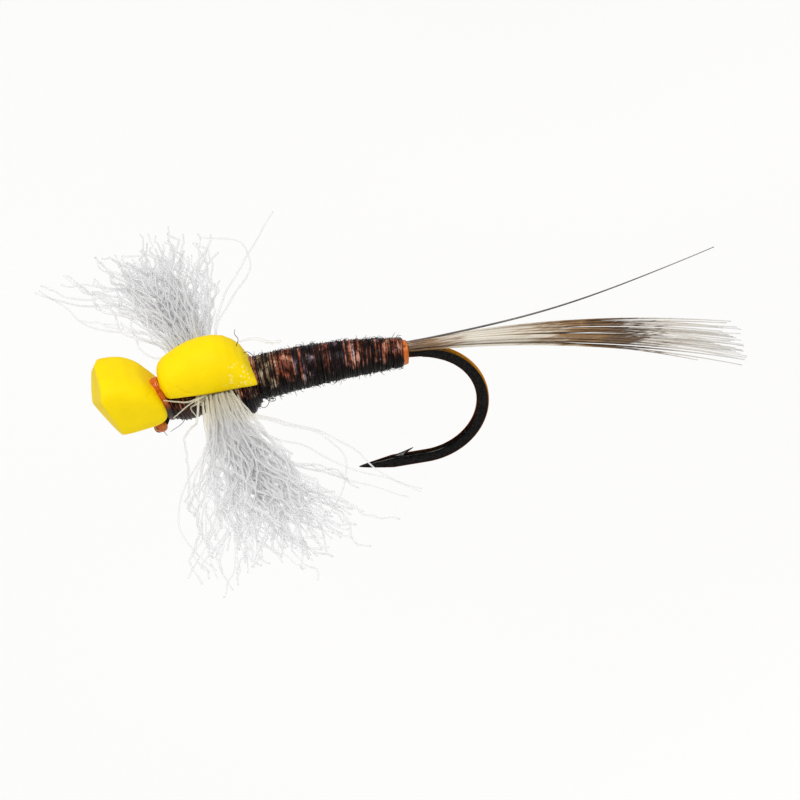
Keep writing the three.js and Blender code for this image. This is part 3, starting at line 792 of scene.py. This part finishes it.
def make_core():
    """The dark fibre core that shows between the wound filaments."""
    sides = 40
    vertices = []
    xs = np.concatenate([np.linspace(0.42, 3.45, 16), np.linspace(3.55, ABDOMEN[1] - 0.05, 60)])
    for x in xs:
        if x < 1.95:
            r = head_radius(x) - 0.05
        elif x < 3.5:
            r = 0.85
        elif x < 4.8:
            r = thorax_radius(x) - 0.07
        else:
            r = abdomen_radius(x) - 0.075
        for k in range(sides):
            ripple = 0.012 * math.sin(5 * k + 31 * x)
            vertices.append(around_shank(x, r + ripple, 2 * math.pi * k / sides) * MM)
    piece = mesh_object("fibre_core", vertices, ring_faces(len(xs), sides), DARK)
    recalculate_normals(piece)
    place_piece(piece, "dark_thread", "thread_underbody", "tail_butts", "head_thread_wraps")


def make_threads():
    winding("head_wraps", (0.38, 1.95), head_radius, 19, 0.05, DARK_THREAD, "dark_thread")
    # Copper fibre turns over the head wraps; their pale tones are painted glints.
    winding("head_wraps_upper", (0.5, 1.9), lambda x: head_radius(x) + 0.05, 7, 0.035,
            COPPER, "dark_thread", seed=1)
    winding("tail_band", (11.57, 11.80), lambda x: 0.55 - 0.3 * (x - 11.57), 5, 0.045, ORANGE_THREAD,
            "orange_thread", ("rear_thread_band",), layers=2, seed=2)
    winding("throat_turns", (0.16, 0.46), lambda x: 0.33 + 0.3 * (x - 0.16), 5, 0.05, DARK_THREAD,
            "dark_thread", seed=3)


COLLAR_CENTRE = np.array([0.31, 0.0, 1.17])
COLLAR_LEAN = math.radians(-14)


def make_collar():
    """Flat turns of orange thread that pinch the foam's neck down on the shank."""
    tubes = TubeSet(8)
    turns = 7
    lean = np.array([math.sin(COLLAR_LEAN), 0.0, math.cos(COLLAR_LEAN)])
    normal = np.array([math.cos(COLLAR_LEAN), 0.0, -math.sin(COLLAR_LEAN)])
    for layer in range(2):
        points = []
        for i in range(turns * 48 + 1):
            t = i / (turns * 48)
            angle = 2 * math.pi * turns * t + 1.1 * layer
            offset = (t - 0.5) * 0.34 * (1 if layer else -1) + 0.012 * math.sin(angle * 0.5 + layer)
            crown = 0.07 * (1 - (2 * t - 1) ** 2)
            half_width = 0.56 + crown + 0.05 * layer
            half_height = 1.06 + crown + 0.05 * layer
            points.append(COLLAR_CENTRE + normal * offset + Y_AXIS * half_width * math.cos(angle)
                          + lean * half_height * math.sin(angle))
        tubes.add(points, 0.058)
    place_piece(tubes.build("foam_collar", COLLAR_THREAD), "orange_thread", "foam_thread_collar")


CEMENT_CENTRE = (-0.10, -0.52, 0.02)


def make_cement():
    """A drop of cement that has run on to the near side of the eye."""
    made = bmesh.new()
    bmesh.ops.create_icosphere(made, subdivisions=4, radius=1.0)
    centre = Vector(CEMENT_CENTRE) * MM
    rng = random.Random(SEED + 5)
    lobes = []
    for _ in range(7):
        way = Vector((rng.gauss(0, 1), rng.gauss(0, 1), rng.gauss(0, 1))).normalized()
        lobes.append((way, rng.uniform(-0.12, 0.2)))
    for vertex in made.verts:
        swell = 1 + sum(size * max(vertex.co.dot(way), 0) ** 3 for way, size in lobes)
        vertex.co = centre + Vector((vertex.co.x * 0.27, vertex.co.y * 0.24, vertex.co.z * 0.27)) * swell * MM
    mesh = bpy.data.meshes.new("cement_drop")
    made.to_mesh(mesh)
    made.free()
    mesh.polygons.foreach_set("use_smooth", [True] * len(mesh.polygons))
    mesh.materials.append(CEMENT)
    place_piece(add_object("cement_drop", mesh), "cement", "head_cement")


# ----- foam


def superellipse(angle, power):
    c, s = math.cos(angle), math.sin(angle)
    return math.copysign(abs(c) ** power, c), math.copysign(abs(s) ** power, s)


COLLAR_TILT = 0.25


def foam_lean(x, z):
    """How far the foam near the collar leans towards the head as it rises."""
    near_collar = float(smoothstep(x, -1.5, -0.3)) * (1 - float(smoothstep(x, 0.9, 1.9)))
    return -COLLAR_TILT * (z - 1.2) * near_collar


def foam_flare(x, y, z):
    """How far the free end's rim curls back round the collar, mostly low on its flanks."""
    amount = 0.46 * float(smoothstep(x, -1.2, -0.1)) * (1 - float(smoothstep(x, 0.25, 0.45)))
    low = 0.35 + 0.65 * (1 - float(smoothstep(z, 1.5, 2.5)))
    return amount * low * min(abs(y) / 1.3, 1.2) ** 1.5


def lofted(name, sections, around=72, power=0.8, shaped=False):
    """A closed solid through sections of (x, centre z, half width near, far, height up, down)."""
    vertices = []
    for x, centre, near, far, up, down in sections:
        for k in range(around):
            y, h = superellipse(2 * math.pi * k / around, power)
            y *= far if y > 0 else near
            z = centre + h * (up if h > 0 else down)
            shift = foam_lean(x, z) + foam_flare(x, y, z) if shaped else 0
            vertices.append(np.array([x + shift, y, z]) * MM)
    return mesh_object(name, vertices, ring_faces(len(sections), around), FOAM)


def slice_off(piece, point, normal):
    """Cuts away what lies on the normal's side of a plane, as a blade would, and closes the cut."""
    made = bmesh.new()
    made.from_mesh(piece.data)
    geometry = made.verts[:] + made.edges[:] + made.faces[:]
    result = bmesh.ops.bisect_plane(made, geom=geometry, plane_co=Vector(point) * MM,
                                    plane_no=Vector(normal), clear_outer=True)
    edges = [e for e in result["geom_cut"] if isinstance(e, bmesh.types.BMEdge)]
    bmesh.ops.holes_fill(made, edges=edges)
    bmesh.ops.recalc_face_normals(made, faces=made.faces)
    made.to_mesh(piece.data)
    made.free()


HUMP_SECTIONS = [
    (0.05, 1.76, 0.45, 0.45, 0.37, 0.36),
    (0.50, 1.78, 0.45, 0.45, 0.37, 0.36),
    (0.54, 1.80, 0.70, 0.70, 0.66, 0.34),
    (0.63, 1.82, 0.92, 0.90, 0.88, 0.30),
    (0.80, 1.84, 1.08, 1.06, 1.12, 0.24),
    (1.10, 1.85, 1.20, 1.18, 1.36, 0.19),
    (1.50, 1.86, 1.31, 1.31, 1.62, 0.17),
    (1.95, 1.86, 1.40, 1.40, 1.82, 0.16),
    (2.50, 1.86, 1.44, 1.44, 1.92, 0.16),
    (3.10, 1.86, 1.45, 1.45, 1.90, 0.17),
    (3.60, 1.84, 1.46, 1.46, 1.74, 0.18),
    (4.00, 1.81, 1.46, 1.38, 1.44, 0.22),
    (4.30, 1.78, 1.45, 1.24, 1.10, 0.28),
    (4.52, 1.77, 1.43, 0.86, 0.62, 0.33),
    (4.70, 1.75, 1.38, 0.56, 0.26, 0.36),
    (4.95, 1.72, 1.20, 0.30, 0.10, 0.30),
]
HUMP_REAR_CUT = ((4.76, -1.4, 1.5), (1.0, 0.04, 0.08))
STUB_SECTIONS = [
    (0.60, 1.78, 0.44, 0.44, 0.37, 0.36),
    (0.16, 1.76, 0.48, 0.46, 0.39, 0.40),
    (0.08, 1.66, 0.86, 0.78, 0.66, 0.62),
    (-0.06, 1.62, 1.18, 1.14, 1.00, 0.80),
    (-0.17, 1.63, 1.32, 1.28, 1.17, 0.90),
    (-0.30, 1.64, 1.43, 1.40, 1.30, 1.00),
    (-0.46, 1.66, 1.51, 1.48, 1.40, 1.10),
    (-0.65, 1.68, 1.57, 1.54, 1.48, 1.18),
    (-0.88, 1.71, 1.60, 1.59, 1.53, 1.26),
    (-1.15, 1.74, 1.62, 1.63, 1.55, 1.34),
    (-1.70, 1.82, 1.65, 1.66, 1.57, 1.46),
    (-2.20, 1.90, 1.65, 1.68, 1.53, 1.52),
    (-2.70, 1.92, 1.60, 1.64, 1.42, 1.42),
    (-3.10, 1.94, 1.50, 1.56, 1.32, 1.34),
]
# Blade cuts on the free end: a point on each cut and the direction of what was cut off.
STUB_CUTS = [
    ((-2.64, 0.0, 2.5), (-0.98, -0.05, 0.19)),
    ((-2.50, 1.3, 3.02), (-0.80, 0.30, 0.50)),
    ((-2.38, -0.80, 1.42), (-0.90, -0.34, -0.28)),
    ((-0.9, -1.42, 0.56), (-0.05, -0.52, -0.85)),
]


def make_foam():
    hump = lofted("foam_hump", HUMP_SECTIONS, power=0.86, shaped=True)
    slice_off(hump, *HUMP_REAR_CUT)
    saddle = lofted("saddle", [(x, 0.9, 1.3, 1.3, 1.3, 1.3) for x in (0.95, 1.3, 3.0, 6.0)], power=1.0)
    combine(hump, saddle, "DIFFERENCE")
    stub = lofted("foam_stub", STUB_SECTIONS, power=0.46, shaped=True)
    for point, normal in STUB_CUTS:
        slice_off(stub, point, normal)
    join_solids(hump, [stub])
    remesh = hump.modifiers.new("cells", "REMESH")
    remesh.mode = "VOXEL"
    remesh.voxel_size = 0.045 * MM
    apply_modifiers(hump)
    soften = hump.modifiers.new("soften", "SMOOTH")
    soften.factor = 0.6
    soften.iterations = 12
    apply_modifiers(hump)
    dent_foam(hump)
    hump.name = "foam_back_and_head"
    hump.data.name = hump.name
    place_piece(hump, "foam", "foam_strip")


def dent_foam(piece):
    """A few broken cells, a faint crease and the blade's unevenness, pressed into the surface."""
    rng = np.random.default_rng(SEED)
    mesh = piece.data
    count = len(mesh.vertices)
    co = np.empty(count * 3)
    no = np.empty(count * 3)
    mesh.vertices.foreach_get("co", co)
    mesh.vertices.foreach_get("normal", no)
    co, no = co.reshape(-1, 3) / MM, no.reshape(-1, 3)
    push = np.zeros(count)
    for _ in range(60):
        centre = np.array([rng.uniform(-3, 4.6), rng.uniform(-1.7, 1.7), rng.uniform(0.4, 3.8)])
        nearest = co[np.argmin(((co - centre) ** 2).sum(1))]
        far = np.linalg.norm(co - nearest, axis=1)
        push += 0.02 * np.exp(-((far / rng.uniform(0.05, 0.08)) ** 2))
    crease = np.hypot(co[:, 0] - 1.75, co[:, 2] - 2.75)
    arc = (co[:, 1] < 0) & (co[:, 0] < 1.7) & (co[:, 2] < 2.5)
    push += 0.025 * np.exp(-(((crease - 0.75) / 0.05) ** 2)) * arc
    push += 0.018 * (np.sin(2.1 * co[:, 0] + 1.3 * co[:, 1]) + np.sin(1.7 * co[:, 1] - 2.4 * co[:, 2]))
    co = co - no * push[:, None]
    mesh.vertices.foreach_set("co", (co * MM).ravel())
    mesh.update()


# ----- wings

HINGES = {joint["child"]: Vector(joint["pos_m"]) / MM for joint in frame["joints"]}
INNER_Y = 0.45
WAIST_STRANDS = 110
STRAY_STEPS = 6


class Wing:
    """One wing's shape: its fan runs from the headward to the tailward angle, and rises or droops."""

    def __init__(self, body, side, rise, fan, lengths, count, lead, seed):
        self.body = body
        self.side = side
        self.rise = math.tan(math.radians(rise))
        self.fan = [math.radians(angle) for angle in fan]
        self.lengths = lengths
        self.count = count
        self.lead = lead
        self.hinge = HINGES[body]
        self.rng = random.Random(SEED + seed)
        self.tubes = TubeSet(5)

    def level(self, y):
        return self.hinge.z + self.rise * (abs(y) - abs(self.hinge.y))

    def crimped(self, first, final, length, start, kinks=1.0, step=0.14):
        """A crimped fibre whose course turns from the first to the final heading."""
        rng = self.rng
        steps = int(length / step)
        waves = [(rng.uniform(0.9, 1.7), rng.uniform(0, 6.28), rng.uniform(0.06, 0.18)),
                 (rng.uniform(2.2, 4.5), rng.uniform(0, 6.28), rng.uniform(0.10, 0.24))]
        point = np.array(start, float)
        points = [point.copy()]
        bend = 0.0
        tilt = 0.0
        countdown = rng.uniform(2, 6)
        for i in range(steps):
            along = i * step
            share = along / length
            loose = float(smoothstep(share, 0.08, 0.75))
            countdown -= step
            if countdown <= 0:
                bend = rng.choice((-1, 1)) * rng.uniform(0.2, 0.8) * kinks * (0.25 + 0.75 * loose)
                tilt = rng.gauss(0, 0.25)
                countdown = rng.uniform(0.5, 2.2)
            bend *= 0.93
            tilt *= 0.93
            crimp = sum(size * math.sin(2 * math.pi * along / span + phase) for span, phase, size in waves)
            heading = first + (final - first) * float(smoothstep(share, 0.1, 0.8))
            heading += bend + (0.35 + 0.9 * loose) * crimp * kinks
            climb = math.atan(self.rise) + tilt + 0.4 * (0.3 + loose) * crimp
            level = math.cos(climb)
            way = (math.sin(heading) * level, self.side * math.cos(heading) * level, math.sin(climb))
            point = point + step * np.array(way)
            points.append(point)
        return np.array(points)

    def root(self, share):
        """Where a fibre leaves the gathered root: headward ones from the front of it."""
        rng = self.rng
        x = self.hinge.x - self.lead + 1.1 * (share - 0.5) + rng.gauss(0, 0.12)
        return x, self.side * INNER_Y, self.hinge.z + 0.15 + rng.uniform(-0.4, 0.4)

    def fill(self):
        rng = self.rng
        for index in range(self.count):
            spread = rng.betavariate(2.5, 2.5) if index % 4 else rng.random()
            final = self.fan[0] + (self.fan[1] - self.fan[0]) * spread
            length = rng.uniform(*self.lengths)
            if index % 3 == 0:
                length *= rng.uniform(0.62, 0.9)
            line = self.crimped(0.35 * final + rng.gauss(0, 0.05), final + rng.gauss(0, 0.10),
                                length + abs(self.hinge.y) - INNER_Y, self.root(spread))
            thin = 1 - 0.2 * np.linspace(0, 1, len(line)) ** 3
            self.tubes.add(line, rng.uniform(0.046, 0.066) * thin)

    def loosen(self, count, radius, step, wander, slack, turn=0.0, lift=0.0):
        """Loose fibres that wander outward within the fan and some slack, or curl over as they turn."""
        for _ in range(count):
            heading = self.rng.uniform(*self.fan)
            x, out = self.hinge.x, INNER_Y
            points = []
            for _ in range(STRAY_STEPS):
                x += step * math.sin(heading)
                out = max(out + step * math.cos(heading), 4 * INNER_Y)
                points.append((x, out))
                heading += turn + self.rng.gauss(0, wander)
                heading = min(max(heading, self.fan[0] - slack), self.fan[1] + slack)
            self.stray(points, radius, lift)

    def stray(self, points, radius, lift):
        """One loose fibre through points (x, distance out), from inside the root."""
        root_x = self.hinge.x + 0.25 * (points[0][0] - self.hinge.x)
        placed = [(root_x, self.side * INNER_Y, self.hinge.z + 0.1)]
        for i, (x, out) in enumerate(points):
            placed.append((x, self.side * out, self.level(out) + lift * i / len(points)))
        line = smooth_line(placed)
        shake = np.sin(np.linspace(0, 5.3 * len(points), len(line)))
        line[:, 0] += 0.025 * shake
        line[:, 2] += 0.02 * np.roll(shake, 5)
        self.tubes.add(line, radius * (1 - 0.35 * np.linspace(0, 1, len(line)) ** 2))

    def build(self):
        locks = sorted(name for name in frame["nodes"] if name.startswith(self.body))
        piece = self.tubes.build(f"{self.body}_fibres", YARN)
        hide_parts(*locks)
        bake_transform(piece)


def make_wings():
    left = Wing("left_wing", -1, rise=-6, fan=(-14, 33), lengths=(10.2, 13.8), count=150, lead=0, seed=21)
    left.fill()
    left.loosen(11, radius=0.054, step=2.2, wander=0.45, slack=0.30)
    left.build()
    right = Wing("right_wing", 1, rise=3, fan=(-38, 9), lengths=(8.0, 11.2), count=150, lead=0.6, seed=22)
    right.fill()
    right.loosen(6, radius=0.062, step=2.1, wander=0.45, slack=0.35)
    right.loosen(2, radius=0.016, step=1.3, wander=0.10, slack=math.pi, turn=0.80, lift=0.5)
    right.build()
    make_waist()


def make_waist():
    """The gathered yarn that crosses over the shank under the foam and comes out on both sides."""
    rng = random.Random(SEED + 30)
    tubes = TubeSet(5)
    for _ in range(WAIST_STRANDS):
        offset = rng.gauss(0, 0.27)
        depth = rng.uniform(-0.26, 0.16)
        points = []
        for t in np.linspace(-1, 1, 17):
            z = 1.80 + (1.40 - 1.80) * t * t + depth + 0.02 * math.sin(9 * t + 7 * offset)
            points.append((2.8 + offset * (1 + 0.5 * t * t) + 0.02 * math.sin(7 * t + 9 * depth), 1.3 * t, z))
        tubes.add(points, rng.uniform(0.035, 0.055))
    place_piece(tubes.build("wing_yarn_waist", YARN), "wing_yarn",
                "yarn_waist", "wing_thread_cross_front", "wing_thread_cross_rear")


# ----- tail

TAIL_LENGTH = 16.4
TAIL_FALL_ROOT = math.radians(5)
TAIL_FALL_TIP = math.radians(24)
TAIL_BARBS = 44


def tail_line(length, rows, columns, sag, drift, steps=26):
    """One barb of the tail, which falls more steeply towards its tip."""
    point = np.array([11.5, 0.035 * columns, HINGES[TAIL].z + 0.03 * rows])
    points = [point]
    for i in range(steps):
        t = (i + 0.5) / steps
        fall = TAIL_FALL_ROOT + (TAIL_FALL_TIP - TAIL_FALL_ROOT) * t
        rise = -math.tan(fall) + 0.006 * rows + sag * math.cos(math.pi * t)
        side = 0.010 * columns + 0.022 * columns * t + drift * math.cos(math.pi * t)
        point = point + length / steps * unit(np.array([1.0, side, rise]))
        points.append(point)
    return np.array(points)


def bend_tail(piece, slot, *nodes):
    """Stands in for CAD nodes and bakes its placement into the mesh."""
    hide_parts(*nodes)
    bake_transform(piece)


def make_tail():
    rng = random.Random(SEED + 60)
    tubes = TubeSet(6)
    for index in range(TAIL_BARBS):
        rows = (index % 11) - 5 + rng.gauss(0, 0.4)
        columns = (index // 11) * 2 - 3 + rng.gauss(0, 0.7)
        length = TAIL_LENGTH * (1 - abs(rng.gauss(0, 0.05)))
        line = tail_line(length, rows, columns, rng.gauss(0, 0.016), rng.gauss(0, 0.02))
        radius = rng.uniform(0.050, 0.078)
        tubes.add(line, radius * (1 - 0.74 * np.linspace(0, 1, len(line)) ** 1.6))
    piece = tubes.build("tail_barbs", BARB)
    bend_tail(piece, "tail_barb", *[f"tail_fibre_{i:02d}" for i in range(1, 15)])

    stray = TubeSet(6)
    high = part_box("tail_stray_fibre")[1] / MM
    start = np.array([11.7, 0.0, HINGES[TAIL].z + 0.22])
    end = np.array(high)
    middle = start + np.array([6.9, 0.05, -0.62])
    ts = np.linspace(0, 1, 40)[:, None]
    line = (1 - ts) ** 2 * start + 2 * ts * (1 - ts) * middle + ts ** 2 * end
    line[:, 2] += 0.03 * np.sin(9 * ts[:, 0])
    stray.add(line, 0.018 + 0.028 * np.sin(math.pi * np.sqrt(ts[:, 0])))
    bend_tail(stray.build("tail_stray_barb", STRAY), "stray_barb", "tail_stray_fibre")


# ----- loose ends at head and thorax

YARN_ENDS = [
    [(2.5, -1.1, 1.7), (1.5, -1.38, 1.62), (0.9, -1.28, 1.70), (0.3, -1.15, 1.86)],
    [(2.5, -1.15, 1.68), (2.0, -1.4, 1.68), (1.43, -1.46, 1.52), (0.56, -1.40, 0.93)],
    [(2.3, -1.2, 1.5), (1.8, -1.4, 1.42), (1.45, -1.38, 1.25), (1.62, -1.45, 0.75)],
    [(3.0, -1.2, 1.7), (3.4, -1.5, 1.55), (3.6, -1.7, 1.2), (3.5, -1.85, 0.85)],
]
HAIR_ENDS = [
    [(1.1, -0.6, 0.45), (1.03, -0.85, 0.33), (0.81, -0.95, 0.17), (0.27, -1.0, -0.05)],
    [(-0.3, -0.5, 0.15), (-0.32, -0.7, 0.05), (-0.07, -0.7, -0.13), (0.08, -0.7, -0.44)],
    [(4.35, -1.4, 1.6), (4.7, -1.5, 1.25), (4.9, -1.5, 1.0), (5.05, -1.5, 0.72), (4.9, -1.5, 0.47),
     (4.7, -1.5, 0.45), (4.5, -1.5, 0.75)],
    [(4.95, -1.5, 0.9), (5.15, -1.5, 0.7), (5.33, -1.5, 0.68), (5.36, -1.5, 0.8), (5.1, -1.5, 0.83)],
    [(4.4, 0.1, 2.6), (4.62, -0.1, 2.72), (4.83, -0.1, 2.4), (4.97, -0.1, 1.9)],
    [(4.1, 0.1, 3.0), (4.3, 0.1, 3.4), (4.2, 0.1, 3.75), (4.27, 0.1, 4.0)],
]


def make_loose_ends():
    for name, ends, radius, material, slot in (
            ("loose_yarn_ends", YARN_ENDS, 0.042, YARN, "wing_yarn"),
            ("loose_hairs", HAIR_ENDS, 0.017, HAIR, "body_fibre")):
        tubes = TubeSet(6)
        for points in ends:
            line = smooth_line(points)
            tubes.add(line, radius * (1 - 0.4 * np.linspace(0, 1, len(line)) ** 2))
        place_piece(tubes.build(name, material), slot)


# ----- stage

FLOOR_DROP = 60 * MM


def make_stage():
    floor_material = new_material("pale_floor", (0.93, 0.93, 0.93), 0.8)
    tint = noise(floor_material, 40, 1)
    greys = [(0.3, (0.92, 0.92, 0.92)), (0.7, (0.94, 0.94, 0.94))]
    base_colour(floor_material, ramp(floor_material, tint, greys))
    half = 3.0
    level = cad_box[0][2] - FLOOR_DROP
    corners = [(-half, -half, level), (half, -half, level), (half, half, level), (-half, half, level)]
    floor = mesh_object("floor", corners, [(0, 1, 2, 3)], floor_material)

    world = bpy.data.worlds.new("studio")
    bpy.context.scene.world = world
    world.use_nodes = True
    background = world.node_tree.nodes["Background"]
    background.inputs["Color"].default_value = (1, 1, 1, 1)
    background.inputs["Strength"].default_value = 0.47
    bpy.context.scene.view_settings.view_transform = "Standard"

    sun_light("overhead", 1.8, 24, (-0.15, -0.35, 1.0))
    strip_light("key", 0.030, (1.0, 1.0, 1.0), Vector((0.0, -0.07, 0.15)), 0.10, 0.003)
    strip_light("rim", 0.012, (1.0, 0.85, 0.6), Vector((0.045, 0.14, 0.09)), 0.12, 0.008)


def sun_light(name, strength, spread, way):
    light = bpy.data.lights.new(name, "SUN")
    light.energy = strength
    light.angle = math.radians(spread)
    add_object(name, light).rotation_euler = Vector(way).to_track_quat("Z", "Y").to_euler()


def strip_light(name, power, colour, place, length, width):
    """A long thin lamp over the fly, which draws a narrow glint along wire and thread."""
    light = bpy.data.lights.new(name, "AREA")
    light.shape = "RECTANGLE"
    light.energy = power
    light.color = colour
    light.size = length
    light.size_y = width
    lamp = add_object(name, light)
    lamp.location = place
    aim = Vector((0.010, 0, 0)) - place
    across = Vector((1, 0, 0))
    back = -aim.normalized()
    upward = back.cross(across).normalized()
    across = upward.cross(back)
    lamp.rotation_euler = Matrix((across, upward, back)).transposed().to_euler()


make_hook()
make_core()
make_abdomen()
make_thorax()
make_fuzz()
make_threads()
make_collar()
make_cement()
make_foam()
make_wings()
make_tail()
make_loose_ends()
make_stage()
